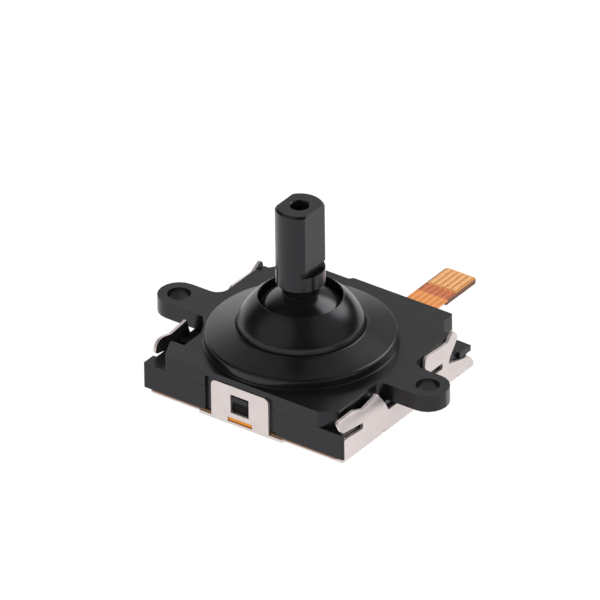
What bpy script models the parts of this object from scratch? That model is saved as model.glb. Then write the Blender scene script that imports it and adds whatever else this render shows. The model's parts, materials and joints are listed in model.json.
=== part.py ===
"""Miniature analog stick module of a game controller.

Row frame: origin on the stick's axis at the underside of the base plate,
+X along the front edge, +Y towards the ribbon tail, +Z up along the stick.
All sizes below are in millimetres; MM turns them into metres.
"""

import math

import bmesh
import bpy
from mathutils import Matrix, Vector

MM = 0.001

# Clearances
SEAT_GAP = 0.03
SLIDE_GAP = 0.06
SOCKET_GAP = 0.06
PIN_GAP = 0.04
CASE_GAP = 0.05

# How far cutters run past a body, and how far joined bodies reach into each other
PAST = 1.0
JOIN = 0.02

# Main sizes of the case, its half width measured over the hooks
CASE_X = 9.42
FRONT_Y = -7.75
BACK_Y = 9.8
FRAME_TOP = 2.62
PLATE_TOP = 4.05
PIVOT_Z = 3.88

# Sheets and films
SHEET = 0.25
FLEX_THICK = 0.12
PRINT_THICK = 0.03

# Top plate of the upper housing
BACK_STEP = 0.3
BACK_STEP_X = -2.0
FRONT_LEFT_X = -7.3
FRONT_RIGHT_X = 7.15
SIDE_X = 8.4
SIDE_CUT = 0.95
LEFT_SIDE_X = -8.1
LEFT_SIDE_Y = -6.1
WAIST_X = 6.95
WAIST_Y = -3.55
WAIST_FRONT_Y = -5.75
SHOULDER_Y = 6.0
SHOULDER_ROUND = 1.2
HORN_IN = 0.16
HORN_Y = 7.5
NOTCH_IN = 0.6
NOTCH_Y = 7.2
TAIL_X = 7.42
TAIL_CORNER_Y = 8.5
PLATE_ROUND = 0.25
STEP_ROUND = 0.1

# Screw ears
EAR_OUT = 2.35
EAR_Y = 0.2
EAR_ROOT = 1.0
EAR_ROOT_ROUND = 0.6
EAR_R = 1.7
EAR_HOLE_R = 0.94
EAR_FILLET = 1.0

# Boss, dome and its opening
BOSS_R = 7.48
BOSS_RISE = 0.95
BOSS_LIP_R = 7.61
BOSS_LIP_RISE = 0.2
RING_R = 5.09
RING_RISE = 1.62
RING_ROUND = 0.14
DOME_R = 5.41
DOME_WALL = 0.56
OPENING_R = 3.3
OPENING_ROUND = 0.08
BOSS_FOOT = 0.7
BOSS_LIP_EDGE = 0.05
BOSS_ROUND = 0.25
CAVITY_R = 6.55
CAVITY_RISE = 0.65

# Lower frame
FRAME_SHORT = 0.5
FRAME_ROUND = 0.3
CHANNEL_END = 6.2
POCKET_DEPTH = 1.5
POCKET_FRONT_Y = -5.2
LEDGE_DEEP = 0.5
LEDGE_FRONT_Y = 7.8
LEDGE_LOW = 1.72
LEDGE_TOP = 2.22
CORNER_DEEP = 0.17
CORNER_ROUND = 0.1
CARRIER_SINK = 2.35

# Front tab and its recess
TAB_LEFT = -2.95
TAB_RIGHT = 2.45
TAB_TOP = 3.45
TAB_ROUND = 0.45
TONGUE_SIDE = 1.2
RECESS_LEFT = -3.55
RECESS_RIGHT = 3.1
WINDOW_LEFT = -1.12
WINDOW_RIGHT = 0.6
WINDOW_LOW = 1.05
WINDOW_HIGH = 2.7
SLOT_LEFT = -1.4
SLOT_RIGHT = 0.9
SLOT_HIGH = 0.62
SLOT_DEEP = 0.6
NUB_CLEAR = 0.12
NUB_SLOPE = 0.55
NUB_FLAT = 0.5
TAB_CLEAR = 0.12

# Side hooks of the base plate
FLANGE_SHORT = 0.2
SHEET_ROUND = 0.3
BEND_R = 0.12
FRONT_LEAN = 0.8
BACK_LEAN = 0.1
HOOK_LEAN_LOW = 2.3
SHELF = 1.96
FINGER_LOW = 2.5
FINGER_HIGH = 3.95
FINGER_SAG = 0.28
BACK_SAG = 0.12
FRONT_HIGH = 3.6
LEFT_HIGH = 3.97
LEFT_HOOK_Y = -6.4
LEFT_NOSE = 0.75
FRONT_TIP_LOW = 2.8
LEAN_TOP = 3.9
FRONT_STEP = 2.16
FRONT_SLOT_Y = -5.05
FRONT_PEAK_Y = -2.5
FRONT_END_Y = -1.72
BACK_TIP_Y = 3.15
STEM_FRONT_Y = 5.5
STEM_BACK_Y = 6.3
SPUR_Y = 7.2
SPUR_TOP = 4.5
ARM_LOW = 1.3
MIDDLE_Y = 0.15
HOOK_ROUND = 0.5
HOOK_NICK = 0.15
RELIEF_WIDTH = 0.45
RELIEF_TOP = 0.42
FRONT_RELIEF_Y = -2.3
BACK_RELIEF_Y = 7.5

# Flexible circuit and its tail
FLEX_INSET = 0.22
FLEX_ROUND = 0.4
TAIL_FILLET = 0.6
TAIL_LONG = 10.3
TAIL_CENTRE_X = 0.98
TAIL_WIDE = 2.9
TAIL_ROUND = 0.3
STIFFENER_THICK = 0.22
STIFFENER_LONG = 4.2
CONTACT_COUNT = 5
CONTACT_PITCH = 0.5
CONTACT_WIDE = 0.33
CONTACT_LONG = 2.55
CONTACT_INSET = 0.1

# Post, neck and ball of the stick
POST_R = 1.93
POST_TOP = 16.15
POST_LOW = 9.45
POST_CHAMFER_LOW = 9.1
POST_EDGE = 0.16
POST_CONE = 0.36
FLAT_X = 1.42
FLAT_LOW = 11.1
NOTCH_TALL = 0.42
NOTCH_DEEP = 0.28
NECK_R = 1.46
BALL_WALL = 0.45
SKIRT_ANGLE = 66.0
TOP_HOLE_R = 0.72
TOP_HOLE_DEEP = 2.2
HOLE_EDGE = 0.08
HOLE_TIP = 0.3
HUB_R = 1.2
HUB_LOW = 3.05
HUB_CLEAR = 0.25
HUB_CONE = 0.35
TIP_R = 0.42
TIP_LOW = 1.0
TIP_EDGE = 0.12
SPRING_SHOULDER = 7.11

# Gimbal
RING_OUT_R = 2.2
RING_IN_R = 1.55
RING_TALL = 0.9
TRUNNION_R = 0.35
TRUNNION_REACH = 3.3
CROSS_PIN_R = 0.3
CROSS_PIN_LONG = 4.3
CARRIER_IN_R = 2.75
CARRIER_OUT_R = 3.4
CARRIER_TOP = 4.9
LUG_REACH = 4.75
LUG_TALL = 0.5
LUG_CLEAR = 0.15
LUG_ROOT = 3.0
LUG_HALF = 0.8
LUG_ROUND = 0.5
ARM_HALF = 0.7
ARM_ROUND = 0.6
ARM_PAST = 0.65
GUIDE_REACH = 4.1
GUIDE_R = 0.35
GUIDE_TOP = 3.5
SEAT_THICK = 0.2
SEAT_IN_R = 1.8
SEAT_OUT_R = 3.3

# Return spring, with its closed end turns a little apart
END_PITCH = 1.06
SPRING_R = 2.5
SPRING_WIRE = 0.28
SPRING_TURNS = 4.5

# Click dome
CLICK_WALL = 0.36
CLICK_RIM = 0.97
CLICK_R = 1.5
CLICK_RISE = 0.27
CLICK_SHEET = 0.07
CLICK_POCKET_R = 1.68
PLUNGER_R = 0.45

# Sliders and wipers
SLIDER_HALF = 1.9
SLIDER_THICK = 0.5
SLIDER_X_LOW = 1.15
SLIDER_Y_LOW = 1.76
SLIDER_BACK = 3.4
SLIDER_FRONT = 3.7
SLOT_HALF = 0.58
SLOT_REACH = 1.25
SLIDER_LEG = 0.9
SLIDER_LEG_IN = 0.4
SLIDER_ROUND = 0.3
WIPER_SHEET = 0.08
WIPER_WIDE = 1.9
WIPER_SPLIT = 0.5
WIPER_ROOT = 2.5
WIPER_TOUCH = 4.5
WIPER_FLAT = 0.9
WIPER_TOE = 0.3
WIPER_Y_SHIFT = 0.4
TRACK_OFFSET = 0.6
TRACK_WIDE = 0.7
TRACK_FROM = 2.7
TRACK_TO = 5.9

# Places that follow from the sizes above
HOOK_IN_X = CASE_X - SHEET
FRAME_X = HOOK_IN_X - CASE_GAP
FRAME_FRONT_Y = FRONT_Y + SEAT_GAP
FRAME_BACK_Y = BACK_Y - FRAME_SHORT
TAB_OUT_Y = FRONT_Y - SEAT_GAP
TAB_IN_Y = TAB_OUT_Y + SHEET
FLANGE_FRONT = FRAME_FRONT_Y + CORNER_DEEP + SEAT_GAP
FLANGE_BACK = BACK_Y - FLANGE_SHORT
PLATE_FRONT_Y = FLANGE_FRONT + CASE_GAP
SHOULDER_X = HOOK_IN_X - BACK_LEAN - CASE_GAP
EAR_X = CASE_X + EAR_OUT
FLEX_X = HOOK_IN_X - FLEX_INSET
FLEX_FRONT_Y = FRAME_FRONT_Y + CASE_GAP
FLEX_BACK_Y = FRAME_BACK_Y - FLEX_INSET
TAIL_END_Y = BACK_Y + TAIL_LONG
FLEX_LOW = SHEET + SEAT_GAP
FLEX_TOP = FLEX_LOW + FLEX_THICK
PRINT_LOW = FLEX_TOP + SEAT_GAP
FRAME_LOW = FLEX_TOP + SEAT_GAP
PLATE_LOW = FRAME_TOP + SEAT_GAP
CAVITY_TOP = PLATE_LOW + CAVITY_RISE
CARRIER_LOW = CAVITY_TOP - LUG_CLEAR - LUG_TALL
DOME_RING_Z = PLATE_TOP + RING_RISE
BALL_R = DOME_R - DOME_WALL - SOCKET_GAP
CLICK_X = -(SLIDER_HALF + SLIDE_GAP + CLICK_WALL + CLICK_POCKET_R)
CLICK_Y = -CLICK_X

ROUND_STEPS = 72
SMALL_STEPS = 32


def remove_everything():
    for item in list(bpy.data.objects):
        bpy.data.objects.remove(item, do_unlink=True)


def material(name, colour, roughness, metallic):
    made = bpy.data.materials.new(name)
    made.use_nodes = True
    shader = made.node_tree.nodes["Principled BSDF"]
    shader.inputs["Base Color"].default_value = (*colour, 1.0)
    shader.inputs["Roughness"].default_value = roughness
    shader.inputs["Metallic"].default_value = metallic
    return made


def node(name, mesh, finish, sharp=35.0):
    """Puts a mesh in the scene under its node's name."""
    made = bpy.data.objects.new(name, mesh)
    bpy.context.scene.collection.objects.link(made)
    mesh.materials.append(finish)
    mesh.shade_smooth()
    mesh.set_sharp_from_angle(angle=math.radians(sharp))
    return made


def mesh_from(shape, name):
    """Turns a bmesh in millimetres into a mesh in metres with faces pointing out."""
    bmesh.ops.recalc_face_normals(shape, faces=shape.faces)
    if shape.calc_volume(signed=True) < 0:
        bmesh.ops.reverse_faces(shape, faces=shape.faces)
    shape.transform(Matrix.Scale(MM, 4))
    mesh = bpy.data.meshes.new(name)
    shape.to_mesh(mesh)
    shape.free()
    return mesh


def arc(centre, radius, start, end, steps):
    """Points on an arc, angles in degrees."""
    points = []
    for step in range(steps + 1):
        angle = math.radians(start + (end - start) * step / steps)
        points.append((centre[0] + radius * math.cos(angle), centre[1] + radius * math.sin(angle)))
    return points


def rounded(corners, steps=5):
    """An outline from (x, y, corner radius), each corner turned into an arc."""
    outline = []
    count = len(corners)
    for index, (x, y, radius) in enumerate(corners):
        here = Vector((x, y))
        if radius <= 0:
            outline.append((x, y))
            continue
        before = (Vector(corners[index - 1][:2]) - here).normalized()
        after = (Vector(corners[(index + 1) % count][:2]) - here).normalized()
        half = before.angle(after) / 2
        middle = here + (before + after).normalized() * radius / math.sin(half)
        first = here + before * radius / math.tan(half) - middle
        last = here + after * radius / math.tan(half) - middle
        turn = first.angle_signed(last)
        for step in range(steps + 1):
            share = Matrix.Rotation(-turn * step / steps, 2)
            point = middle + share @ first
            outline.append((point.x, point.y))
    return outline


def prism(outline, low, high):
    """A bmesh prism over an outline in the XY plane."""
    shape = bmesh.new()
    face = shape.faces.new([shape.verts.new((x, y, low)) for x, y in outline])
    swept = bmesh.ops.extrude_face_region(shape, geom=[face])
    top = [item for item in swept["geom"] if isinstance(item, bmesh.types.BMVert)]
    bmesh.ops.translate(shape, verts=top, vec=(0, 0, high - low))
    bmesh.ops.recalc_face_normals(shape, faces=shape.faces)
    return shape


def block(low, high):
    return prism([(low[0], low[1]), (high[0], low[1]), (high[0], high[1]), (low[0], high[1])],
                 low[2], high[2])


def cylinder(radius, low, high, centre=(0.0, 0.0), steps=SMALL_STEPS):
    return prism(arc(centre, radius, 0, 360 * (steps - 1) / steps, steps - 1), low, high)


def stand(shape, axis):
    """Turns a prism made along Z so that it runs along X or Y."""
    if axis == "X":
        shape.transform(Matrix(((0, 0, 1, 0), (1, 0, 0, 0), (0, 1, 0, 0), (0, 0, 0, 1))))
    else:
        shape.transform(Matrix(((0, 1, 0, 0), (0, 0, 1, 0), (1, 0, 0, 0), (0, 0, 0, 1))))
    return shape


def turned(profile, steps=ROUND_STEPS):
    """A solid turned about Z from a closed profile of (radius, height)."""
    shape = bmesh.new()
    line = [shape.verts.new((radius, 0, height)) for radius, height in profile]
    edges = [shape.edges.new((line[i], line[(i + 1) % len(line)])) for i in range(len(line))]
    axial = [e for e in edges if all(abs(v.co.x) < 1e-9 for v in e.verts)]
    for edge in axial:
        shape.edges.remove(edge)
        edges.remove(edge)
    bmesh.ops.spin(shape, geom=line + edges, cent=(0, 0, 0), axis=(0, 0, 1), angle=math.tau,
                   steps=steps, use_merge=True)
    bmesh.ops.remove_doubles(shape, verts=shape.verts, dist=1e-5)
    bmesh.ops.recalc_face_normals(shape, faces=shape.faces)
    return shape


def helper(shape, name):
    """A hidden cutter or tool body for a Boolean."""
    made = bpy.data.objects.new(name, mesh_from(shape, name))
    bpy.context.scene.collection.objects.link(made)
    made.hide_render = True
    made.display_type = "WIRE"
    return made


def combine(target, shape, operation):
    """Adds a Boolean with a hidden helper made from the shape."""
    label = target.name + "_" + operation.lower() + "_" + str(len(target.modifiers) + 1)
    step = target.modifiers.new(label, "BOOLEAN")
    step.operation = operation
    step.solver = "EXACT"
    step.object = helper(shape, label)


def cut(target, *shapes):
    for shape in shapes:
        combine(target, shape, "DIFFERENCE")


def add(target, *shapes):
    for shape in shapes:
        combine(target, shape, "UNION")


def polar(radius, angle):
    """A point of a turned profile on a sphere about the pivot, angle from the top in degrees."""
    swing = math.radians(angle)
    return (radius * math.sin(swing), PIVOT_Z + radius * math.cos(swing))


def sphere_run(radius, start, end, steps):
    return [polar(radius, start + (end - start) * i / steps) for i in range(steps + 1)]


def opening_angle(radius):
    """Angle from the top at which a sphere about the pivot meets the dome's opening."""
    return math.degrees(math.asin(OPENING_R / radius))


def upper_outline():
    """The top plate seen from above, counter-clockwise from its front left corner."""
    right = [
        (FRONT_RIGHT_X, FRONT_Y, PLATE_ROUND),
        (SIDE_X, FRONT_Y + SIDE_CUT, PLATE_ROUND),
        (SIDE_X, EAR_Y - EAR_R, EAR_ROOT_ROUND),
        (EAR_X + EAR_R, EAR_Y - EAR_R, EAR_R - JOIN),
        (EAR_X + EAR_R, EAR_Y + EAR_R, EAR_R - JOIN),
        (SHOULDER_X, EAR_Y + EAR_R, EAR_FILLET),
        (SHOULDER_X, SHOULDER_Y, SHOULDER_ROUND),
        (SHOULDER_X - HORN_IN, HORN_Y, PLATE_ROUND),
        (SHOULDER_X - NOTCH_IN, NOTCH_Y, PLATE_ROUND),
        (TAIL_X, TAIL_CORNER_Y, PLATE_ROUND),
        (TAIL_X, BACK_Y, PLATE_ROUND),
    ]
    left = [(-x, y, radius) for x, y, radius in reversed(right[3:])]
    left[0] = (-TAIL_X, BACK_Y - BACK_STEP, PLATE_ROUND)
    waist = [
        (-WAIST_X - EAR_ROOT, EAR_Y - EAR_R, EAR_ROOT_ROUND),
        (-WAIST_X, WAIST_Y, PLATE_ROUND),
        (-WAIST_X, WAIST_FRONT_Y, STEP_ROUND),
        (LEFT_SIDE_X, WAIST_FRONT_Y, STEP_ROUND),
        (LEFT_SIDE_X, LEFT_SIDE_Y, STEP_ROUND),
        (FRONT_LEFT_X, FRONT_Y, PLATE_ROUND),
    ]
    step = [(BACK_STEP_X, BACK_Y, STEP_ROUND), (BACK_STEP_X - BACK_STEP, BACK_Y - BACK_STEP, STEP_ROUND)]
    return rounded(right + step + left + waist)


def tab_recess(low, high):
    """The slot that the steel tab lies in, cut into the front of both mouldings."""
    return block((RECESS_LEFT, FRONT_Y - PAST, low), (RECESS_RIGHT, TAB_IN_Y + SEAT_GAP, high))


def boss_profile():
    """Outside of the boss and the dome, from the middle of the plate's thickness up to the axis."""
    rim = opening_angle(DOME_R) + math.degrees(OPENING_ROUND / DOME_R)
    foot = math.degrees(math.asin((RING_R - RING_ROUND) / DOME_R))
    ring = arc((RING_R, DOME_RING_Z - RING_ROUND), RING_ROUND, 20, 150, 5)
    lip = PLATE_TOP + BOSS_LIP_RISE
    mouth = polar(DOME_R, opening_angle(DOME_R))[1] - OPENING_ROUND
    return (
        [(0, PLATE_LOW + BOSS_FOOT), (BOSS_LIP_R, PLATE_LOW + BOSS_FOOT), (BOSS_LIP_R, lip - BOSS_LIP_EDGE)]
        + [(BOSS_LIP_R - BOSS_LIP_EDGE, lip), (BOSS_R, lip)]
        + arc((BOSS_R - BOSS_ROUND, PLATE_TOP + BOSS_RISE - BOSS_ROUND), BOSS_ROUND, 0, 80, 4)
        + ring
        + sphere_run(DOME_R, foot, rim, 9)
        + [(OPENING_R, mouth), (0, mouth)]
    )


def cavity_profile():
    """The hollow under the dome: mouth, socket sphere and the wide room under the plate."""
    socket = DOME_R - DOME_WALL
    top = polar(DOME_R, opening_angle(DOME_R))[1] + PAST
    return (
        [(0, top), (OPENING_R, top)]
        + sphere_run(socket, opening_angle(socket), 90, 8)
        + [(socket, CAVITY_TOP), (CAVITY_R, CAVITY_TOP), (CAVITY_R, PLATE_LOW - PAST), (0, PLATE_LOW - PAST)]
    )


def make_upper_housing(black):
    body = node("upper_housing", mesh_from(prism(upper_outline(), PLATE_LOW, PLATE_TOP), "plate"), black)
    add(body, turned(boss_profile()))
    cut(body, turned(cavity_profile()), tab_recess(PLATE_LOW - PAST, TAB_TOP + TAB_CLEAR))
    for side in (-1, 1):
        cut(body, cylinder(EAR_HOLE_R, PLATE_LOW - PAST, PLATE_TOP + PAST, (side * EAR_X, EAR_Y)))
    return body


def window_nub():
    """The wedge that the tab's window snaps over."""
    deep = TAB_IN_Y + SEAT_GAP + NUB_CLEAR
    high = WINDOW_HIGH - NUB_CLEAR
    wedge = [
        (deep, WINDOW_LOW + NUB_CLEAR + NUB_SLOPE),
        (deep, high),
        (TAB_OUT_Y + CASE_GAP, high - CASE_GAP),
        (TAB_OUT_Y + CASE_GAP, high - NUB_FLAT),
    ]
    return stand(prism(wedge, WINDOW_LEFT + NUB_CLEAR, WINDOW_RIGHT - NUB_CLEAR), "X")


def make_lower_frame(black):
    outline = rounded([
        (-CASE_X, FRAME_FRONT_Y, CORNER_ROUND),
        (CASE_X, FRAME_FRONT_Y, CORNER_ROUND),
        (CASE_X, FRAME_FRONT_Y + CORNER_DEEP, 0.0),
        (FRAME_X, FRAME_FRONT_Y + CORNER_DEEP, 0.0),
        (FRAME_X, FRAME_BACK_Y, FRAME_ROUND),
        (-FRAME_X, FRAME_BACK_Y, FRAME_ROUND),
        (-FRAME_X, LEFT_HOOK_Y - SEAT_GAP, 0.0),
        (-CASE_X, LEFT_HOOK_Y - SEAT_GAP, 0.0),
    ])
    body = node("lower_frame", mesh_from(prism(outline, FRAME_LOW, FRAME_TOP), "frame"), black)
    for side in (-1, 1):
        near, far = sorted((side * TAIL_X, side * CASE_X))
        add(body, block((near, LEDGE_FRONT_Y, LEDGE_LOW), (far, FRAME_BACK_Y - JOIN, FRAME_TOP - JOIN)))
        near, far = sorted((side * (TAIL_X + CASE_GAP), side * (CASE_X + PAST)))
        cut(body, block((near, LEDGE_FRONT_Y - LEDGE_DEEP, LEDGE_TOP), (far, BACK_Y, FRAME_TOP + PAST)))
    channel = SLIDER_HALF + SLIDE_GAP
    low, high = FRAME_LOW - PAST, FRAME_TOP + PAST
    cut(body, block((-CHANNEL_END, -channel, low), (CHANNEL_END, channel, high)))
    cut(body, block((-channel, -CHANNEL_END, low), (channel, CHANNEL_END, high)))
    cut(body, cylinder(CAVITY_R, CARRIER_SINK, high, steps=48))
    cut(body, cylinder(CLICK_POCKET_R, low, high, (CLICK_X, CLICK_Y)))
    cut(body, tab_recess(low, high))
    add(body, window_nub())
    reach = GUIDE_REACH * math.sqrt(0.5)
    for side in (-1, 1):
        add(body, cylinder(GUIDE_R, CARRIER_SINK - GUIDE_R, GUIDE_TOP, (side * reach, side * reach), 20))
    cut(body, block((-FRAME_X - PAST, POCKET_FRONT_Y, POCKET_DEPTH), (-WAIST_X - CASE_GAP, WAIST_Y, high)))
    return body


def front_hook(start, tip, high, nose):
    """Front hook seen from the side: the low plate, the slot, the forward finger and the peak."""
    return rounded([
        (start, BEND_R, 0.0),
        (start, FRONT_STEP, HOOK_NICK),
        (FRONT_SLOT_Y, SHELF, HOOK_NICK),
        (FRONT_SLOT_Y, FINGER_LOW, HOOK_NICK),
        (tip, FRONT_TIP_LOW, HOOK_ROUND * 0.7),
        (tip, high, nose),
        (FRONT_SLOT_Y - HOOK_ROUND, high, HOOK_ROUND),
        (FRONT_SLOT_Y + HOOK_ROUND, high - FINGER_SAG, HOOK_ROUND),
        (FRONT_PEAK_Y - HOOK_ROUND, high - BACK_SAG, HOOK_ROUND),
        (FRONT_PEAK_Y, high, HOOK_NICK),
        (FRONT_END_Y, SHELF, HOOK_NICK),
        (MIDDLE_Y, SHELF, 0.0),
        (MIDDLE_Y, BEND_R, 0.0),
    ][::-1])


def back_hook():
    """Back hook seen from the side: the stem with a finger forward and a spur up, and the low arm."""
    return rounded([
        (MIDDLE_Y, BEND_R, 0.0),
        (MIDDLE_Y, SHELF, 0.0),
        (STEM_FRONT_Y, SHELF, HOOK_NICK),
        (STEM_FRONT_Y, FINGER_LOW, HOOK_NICK),
        (BACK_TIP_Y + HOOK_ROUND, FINGER_LOW, HOOK_ROUND * 0.8),
        (BACK_TIP_Y, (FINGER_LOW + FINGER_HIGH) / 2, HOOK_ROUND),
        (BACK_TIP_Y + HOOK_ROUND * 0.6, FINGER_HIGH, HOOK_ROUND * 0.8),
        (STEM_BACK_Y, FINGER_HIGH - BACK_SAG, HOOK_ROUND * 0.6),
        (SPUR_Y, SPUR_TOP, HOOK_NICK),
        (SPUR_Y + HOOK_ROUND, FINGER_HIGH - BACK_SAG, HOOK_ROUND * 0.8),
        (STEM_BACK_Y + HOOK_NICK, FINGER_LOW, HOOK_ROUND * 0.6),
        (STEM_BACK_Y, SHELF, HOOK_NICK),
        (FLANGE_BACK - HOOK_ROUND, ARM_LOW, HOOK_ROUND),
        (FLANGE_BACK, ARM_LOW / 2, HOOK_NICK),
        (FLANGE_BACK, BEND_R, 0.0),
    ][::-1])


def leaning(shape, side, lean):
    """Leans a hook's fingers in over the ledge, by the full amount at the lean's top."""
    rise = LEAN_TOP - HOOK_LEAN_LOW
    for step in range(5):
        bmesh.ops.bisect_plane(shape, geom=shape.verts[:] + shape.edges[:] + shape.faces[:],
                               plane_co=(0, 0, HOOK_LEAN_LOW + rise * step / 4), plane_no=(0, 0, 1), dist=1e-5)
    for vert in shape.verts:
        over = max(0.0, vert.co.z - HOOK_LEAN_LOW) / rise
        vert.co.x -= side * lean * over * over
    return shape


def make_base_plate(steel):
    floor_x = HOOK_IN_X - BEND_R
    outline = rounded([
        (-floor_x, PLATE_FRONT_Y, SHEET_ROUND),
        (TAB_LEFT - TONGUE_SIDE, PLATE_FRONT_Y, STEP_ROUND),
        (TAB_LEFT - TONGUE_SIDE, TAB_OUT_Y + JOIN, STEP_ROUND),
        (TAB_RIGHT + TONGUE_SIDE, TAB_OUT_Y + JOIN, STEP_ROUND),
        (TAB_RIGHT + TONGUE_SIDE, PLATE_FRONT_Y, STEP_ROUND),
        (floor_x, PLATE_FRONT_Y, SHEET_ROUND),
        (floor_x, FLANGE_BACK, SHEET_ROUND),
        (-floor_x, FLANGE_BACK, SHEET_ROUND),
    ], 3)
    body = node("base_plate", mesh_from(prism(outline, 0, SHEET), "sheet"), steel)
    fold = SHEET + BEND_R
    bend = arc((floor_x, fold), fold, -90, 0, 6) + arc((floor_x, fold), BEND_R, 0, -90, 4)
    for side in (-1, 1):
        line = bend if side > 0 else [(-x, z) for x, z in reversed(bend)]
        start = FLANGE_FRONT if side > 0 else LEFT_HOOK_Y
        add(body, stand(prism([(z, x) for x, z in line], start, FLANGE_BACK), "Y"))
        near, far = sorted((side * HOOK_IN_X, side * CASE_X))
        if side > 0:
            front = (front_hook(start, FRONT_Y, FRONT_HIGH, HOOK_ROUND / 2), FRONT_LEAN)
        else:
            front = (front_hook(start, start - CASE_GAP, LEFT_HIGH, LEFT_NOSE), BACK_LEAN)
        for hook, lean in (front, (back_hook(), BACK_LEAN)):
            raised = [(y, max(z, fold - JOIN / 2)) for y, z in hook]
            add(body, leaning(stand(prism(raised, near, far), "X"), side, lean))
        near, far = sorted((side * (floor_x - CASE_GAP), side * (CASE_X + PAST)))
        for middle in (FRONT_RELIEF_Y, BACK_RELIEF_Y):
            cut(body, block((near, middle - RELIEF_WIDTH / 2, -PAST), (far, middle + RELIEF_WIDTH / 2, RELIEF_TOP)))
    tab = rounded([
        (TAB_LEFT, JOIN, 0.0),
        (TAB_RIGHT, JOIN, 0.0),
        (TAB_RIGHT, TAB_TOP, TAB_ROUND),
        (TAB_LEFT, TAB_TOP, TAB_ROUND),
    ])
    add(body, stand(prism([(z, x) for x, z in tab], TAB_OUT_Y, TAB_IN_Y), "Y"))
    cut(body, block((WINDOW_LEFT, TAB_OUT_Y - PAST, WINDOW_LOW), (WINDOW_RIGHT, TAB_OUT_Y + PAST, WINDOW_HIGH)))
    cut(body, block((SLOT_LEFT, TAB_OUT_Y - PAST, SHEET - JOIN), (SLOT_RIGHT, TAB_OUT_Y + SLOT_DEEP, SLOT_HIGH)))
    return body


def make_flex(orange):
    left = TAIL_CENTRE_X - TAIL_WIDE / 2
    right = TAIL_CENTRE_X + TAIL_WIDE / 2
    outline = rounded([
        (-FLEX_X, FLEX_FRONT_Y, FLEX_ROUND),
        (TAB_LEFT - TAB_CLEAR, FLEX_FRONT_Y, STEP_ROUND),
        (TAB_LEFT - TAB_CLEAR, TAB_IN_Y + SLIDE_GAP, 0.0),
        (TAB_RIGHT + TAB_CLEAR, TAB_IN_Y + SLIDE_GAP, 0.0),
        (TAB_RIGHT + TAB_CLEAR, FLEX_FRONT_Y, STEP_ROUND),
        (FLEX_X, FLEX_FRONT_Y, FLEX_ROUND),
        (FLEX_X, FLEX_BACK_Y, FLEX_ROUND),
        (right, FLEX_BACK_Y, TAIL_FILLET),
        (right, TAIL_END_Y, TAIL_ROUND),
        (left, TAIL_END_Y, TAIL_ROUND),
        (left, FLEX_BACK_Y, TAIL_FILLET),
        (-FLEX_X, FLEX_BACK_Y, FLEX_ROUND),
    ])
    return node("flex_circuit", mesh_from(prism(outline, FLEX_LOW, FLEX_TOP), "flex"), orange)


def make_tail_end(brown, gold):
    left = TAIL_CENTRE_X - TAIL_WIDE / 2
    right = TAIL_CENTRE_X + TAIL_WIDE / 2
    outline = rounded([
        (left, TAIL_END_Y - STIFFENER_LONG, 0.0),
        (right, TAIL_END_Y - STIFFENER_LONG, 0.0),
        (right, TAIL_END_Y, TAIL_ROUND),
        (left, TAIL_END_Y, TAIL_ROUND),
    ])
    low = FLEX_LOW - SEAT_GAP - STIFFENER_THICK
    node("tail_stiffener", mesh_from(prism(outline, low, FLEX_LOW - SEAT_GAP), "backing"), brown)
    for index in range(CONTACT_COUNT):
        middle = TAIL_CENTRE_X + (index - (CONTACT_COUNT - 1) / 2) * CONTACT_PITCH
        far = TAIL_END_Y - CONTACT_INSET
        shape = block((middle - CONTACT_WIDE / 2, far - CONTACT_LONG, PRINT_LOW),
                      (middle + CONTACT_WIDE / 2, far, PRINT_LOW + PRINT_THICK))
        node("contact_" + str(index + 1), mesh_from(shape, "contact"), gold)


def make_tracks(carbon):
    for index, side in enumerate((-1, 1)):
        edge = side * TRACK_OFFSET
        along_x = block((TRACK_FROM, edge - TRACK_WIDE / 2, PRINT_LOW),
                        (TRACK_TO, edge + TRACK_WIDE / 2, PRINT_LOW + PRINT_THICK))
        node("track_x_" + str(index + 1), mesh_from(along_x, "track"), carbon)
        along_y = block((edge - TRACK_WIDE / 2, -TRACK_TO, PRINT_LOW),
                        (edge + TRACK_WIDE / 2, -TRACK_FROM, PRINT_LOW + PRINT_THICK))
        node("track_y_" + str(index + 1), mesh_from(along_y, "track"), carbon)


def make_snap_dome(steel):
    """A thin domed disc, flat at its foot."""
    bulge = (CLICK_R ** 2 + CLICK_RISE ** 2) / (2 * CLICK_RISE)
    outer, inner = [], []
    for step in range(7):
        radius = CLICK_R * step / 6
        height = PRINT_LOW + CLICK_RISE - (bulge - math.sqrt(bulge ** 2 - radius ** 2))
        outer.append((radius, height))
        inner.append((radius * CLICK_RIM, height - CLICK_SHEET * (1 - 0.9 * step / 6)))
    shape = turned(outer[::-1] + inner, SMALL_STEPS)
    shape.transform(Matrix.Translation((CLICK_X, CLICK_Y, 0)))
    return node("snap_dome", mesh_from(shape, "dome"), steel)


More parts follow.
